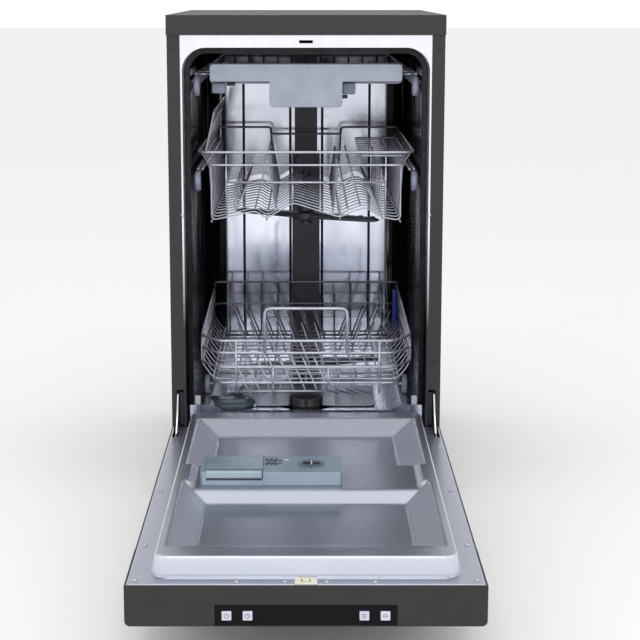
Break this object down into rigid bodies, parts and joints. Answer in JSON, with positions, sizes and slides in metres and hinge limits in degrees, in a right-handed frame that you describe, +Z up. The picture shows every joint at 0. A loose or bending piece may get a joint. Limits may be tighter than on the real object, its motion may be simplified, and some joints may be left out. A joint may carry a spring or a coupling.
{
  "type": "built-in dishwasher",
  "caption": "Narrow built-in dishwasher with its door open flat, two wire baskets, a cutlery tray, spray arms and a top-edge control strip.",
  "frame": {"origin": "on the floor, midway between the four feet", "axes": "+Z up, +Y from the front to the back, +X to the right of someone facing the front"},
  "size_m": [0.451, 1.2124, 0.815],
  "materials": {
    "charcoal_steel": "satin",
    "cladding": "zinc coated, matt",
    "base_plastic": "matt",
    "foot_plastic": "matt",
    "plug_plastic": "matt",
    "hinge_plastic": "satin",
    "bracket_steel": "zinc plated",
    "tub_steel": "bright, mirror-like",
    "flange_steel": "bright",
    "seal_rubber": "matt",
    "end_block": "matt",
    "filter_steel": "fine perforated",
    "filter_plastic": "satin",
    "sump_plastic": "matt",
    "softener_plastic": "matt",
    "salt_cap_plastic": "semi-gloss",
    "pump_plastic": "matt",
    "valve_plastic": "matt",
    "duct_plastic": "satin",
    "arm_plastic": "satin",
    "rail_plastic": "satin",
    "roller_plastic": "satin",
    "wheel_plastic": "satin",
    "liner_steel": "fine brushed",
    "arm_steel": "bright",
    "screw_steel": "bright",
    "latch_plastic": "matt",
    "console_plastic": "satin",
    "display_glass": "high gloss",
    "button_plastic": "satin",
    "dispenser_plastic": "satin",
    "lid_plastic": "satin",
    "dial_plastic": "satin",
    "tray_plastic": "satin",
    "coated_wire": "nylon coated steel wire"
  },
  "bodies": {
    "cabinet": {"side_panel_left": "charcoal_steel", "side_panel_right": "charcoal_steel", "back_panel": "cladding", "top_cover": "charcoal_steel", "base_tray": "base_plastic", "toe_panel": "charcoal_steel", "frame_plugs": "plug_plastic", "hinge_covers": "hinge_plastic", "hinge_brackets": "bracket_steel", "front_flange": "flange_steel", "door_seal": "seal_rubber", "lower_seal": "seal_rubber", "seal_ends": "end_block", "door_strike": "bracket_steel", "tub_shell": "tub_steel", "tub_floor": "tub_steel", "sump": "sump_plastic", "filter_plate": "filter_steel", "softener": "softener_plastic", "circulation_pump": "pump_plastic", "drain_pump": "pump_plastic", "water_inlet": "valve_plastic", "drain_outlet": "filter_plastic", "water_duct": "duct_plastic", "rack_rails": "rail_plastic"},
    "feet": {"feet": "foot_plastic"},
    "filter_cup": {"filter_cup": "filter_plastic"},
    "salt_cap": {"salt_cap": "salt_cap_plastic"},
    "tray_rollers": {"tray_rollers": "roller_plastic"},
    "basket_rollers": {"basket_rollers": "roller_plastic"},
    "lower_arm": {"lower_spray_arm": "arm_plastic"},
    "door": {"door_panel": "charcoal_steel", "door_liner": "liner_steel", "hinge_arms": "arm_steel", "door_screws": "screw_steel", "door_latch": "latch_plastic", "console": "console_plastic", "display_window": "display_glass", "dispenser_body": "dispenser_plastic"},
    "button_power": {"button_power": "button_plastic"},
    "button_delay": {"button_delay": "button_plastic"},
    "button_program": {"button_program": "button_plastic"},
    "button_half_load": {"button_half_load": "button_plastic"},
    "dispenser_lid": {"dispenser_lid": "lid_plastic"},
    "rinse_dial": {"rinse_dial": "dial_plastic"},
    "cutlery_tray": {"tray_floor": "coated_wire", "tray_sides": "coated_wire", "tray_handle": "tray_plastic"},
    "upper_basket": {"upper_floor": "coated_wire", "upper_walls": "coated_wire", "feed_pipe": "arm_plastic"},
    "cup_shelf_left": {"cup_shelf_left": "coated_wire"},
    "cup_shelf_right": {"cup_shelf_right": "coated_wire"},
    "upper_arm": {"upper_spray_arm": "arm_plastic"},
    "lower_basket": {"lower_floor": "coated_wire", "lower_walls": "coated_wire", "fixed_tines": "coated_wire"},
    "lower_tines": {"lower_tines": "coated_wire"},
    "wheels_front": {"wheels_front": "wheel_plastic"},
    "wheels_rear": {"wheels_rear": "wheel_plastic"}
  },
  "joints": [
    {"name": "door_hinge", "type": "hinge", "parent": "cabinet", "child": "door", "pos_m": [0, -0.283, 0.1255], "axis": [-1, 0, 0], "range_deg": [0, 90]},
    {"name": "tray_slide", "type": "slide", "parent": "cabinet", "child": "cutlery_tray", "axis": [0, 1, 0], "range_m": [-0.36, 0]},
    {"name": "upper_basket_slide", "type": "slide", "parent": "cabinet", "child": "upper_basket", "axis": [0, 1, 0], "range_m": [-0.38, 0]},
    {"name": "lower_basket_slide", "type": "slide", "parent": "cabinet", "child": "lower_basket", "axis": [0, 1, 0], "range_m": [-0.4, 0]},
    {"name": "tray_roller_spin", "type": "hinge", "parent": "cabinet", "child": "tray_rollers", "pos_m": [0, -0.2105, 0.698], "axis": [-1, 0, 0], "range_deg": [-1260, 0]},
    {"name": "basket_roller_spin", "type": "hinge", "parent": "cabinet", "child": "basket_rollers", "pos_m": [0, -0.2105, 0.539], "axis": [-1, 0, 0], "range_deg": [-1320, 0]},
    {"name": "front_wheel_spin", "type": "hinge", "parent": "lower_basket", "child": "wheels_front", "pos_m": [0, -0.1725, 0.1795], "axis": [-1, 0, 0], "range_deg": [-1380, 0]},
    {"name": "rear_wheel_spin", "type": "hinge", "parent": "lower_basket", "child": "wheels_rear", "pos_m": [0, 0.1575, 0.1795], "axis": [-1, 0, 0], "range_deg": [-1380, 0]},
    {"name": "upper_arm_spin", "type": "hinge", "parent": "upper_basket", "child": "upper_arm", "pos_m": [0, -0.002, 0.45], "axis": [0, 0, 1], "continuous": true},
    {"name": "lower_arm_spin", "type": "hinge", "parent": "cabinet", "child": "lower_arm", "pos_m": [0, -0.002, 0.172], "axis": [0, 0, 1], "continuous": true},
    {"name": "cup_shelf_left_fold", "type": "hinge", "parent": "upper_basket", "child": "cup_shelf_left", "pos_m": [-0.171, -0.0275, 0.578], "axis": [0, 1, 0], "range_deg": [0, 78]},
    {"name": "cup_shelf_right_fold", "type": "hinge", "parent": "upper_basket", "child": "cup_shelf_right", "pos_m": [0.171, -0.0275, 0.578], "axis": [0, -1, 0], "range_deg": [-78, 0]},
    {"name": "lower_tines_fold", "type": "hinge", "parent": "lower_basket", "child": "lower_tines", "pos_m": [0, -0.0225, 0.194], "axis": [-1, 0, 0], "range_deg": [0, 80]},
    {"name": "filter_cup_twist", "type": "hinge", "parent": "cabinet", "child": "filter_cup", "pos_m": [0, -0.2075, 0.15], "axis": [0, 0, 1], "range_deg": [0, 90]},
    {"name": "salt_cap_twist", "type": "hinge", "parent": "cabinet", "child": "salt_cap", "pos_m": [-0.125, -0.1995, 0.15], "axis": [0, 0, 1], "range_deg": [0, 120]},
    {"name": "feet_height", "type": "slide", "parent": "cabinet", "child": "feet", "axis": [0, 0, -1], "range_m": [0, 0.02]},
    {"name": "button_power_press", "type": "slide", "parent": "door", "child": "button_power", "axis": [0, 1, 0], "range_m": [0, 0.001], "stiffness_N_per_m": 600},
    {"name": "button_delay_press", "type": "slide", "parent": "door", "child": "button_delay", "axis": [0, 1, 0], "range_m": [0, 0.001], "stiffness_N_per_m": 600},
    {"name": "button_program_press", "type": "slide", "parent": "door", "child": "button_program", "axis": [0, 1, 0], "range_m": [0, 0.001], "stiffness_N_per_m": 600},
    {"name": "button_half_load_press", "type": "slide", "parent": "door", "child": "button_half_load", "axis": [0, 1, 0], "range_m": [0, 0.001], "stiffness_N_per_m": 600},
    {"name": "dispenser_lid_hinge", "type": "hinge", "parent": "door", "child": "dispenser_lid", "pos_m": [-0.1035, -0.55535, 0.171], "axis": [-1, 0, 0], "range_deg": [0, 90]},
    {"name": "rinse_dial_turn", "type": "hinge", "parent": "door", "child": "rinse_dial", "pos_m": [0.008, -0.58685, 0.172], "axis": [0, 0, 1], "range_deg": [0, 90]}
  ],
  "couplings": [
    {"joint": "tray_roller_spin", "follows": "tray_slide", "rad_per_m": 58.824},
    {"joint": "basket_roller_spin", "follows": "upper_basket_slide", "rad_per_m": 58.824},
    {"joint": "front_wheel_spin", "follows": "lower_basket_slide", "rad_per_m": 58.824},
    {"joint": "rear_wheel_spin", "follows": "lower_basket_slide", "rad_per_m": 58.824}
  ]
}
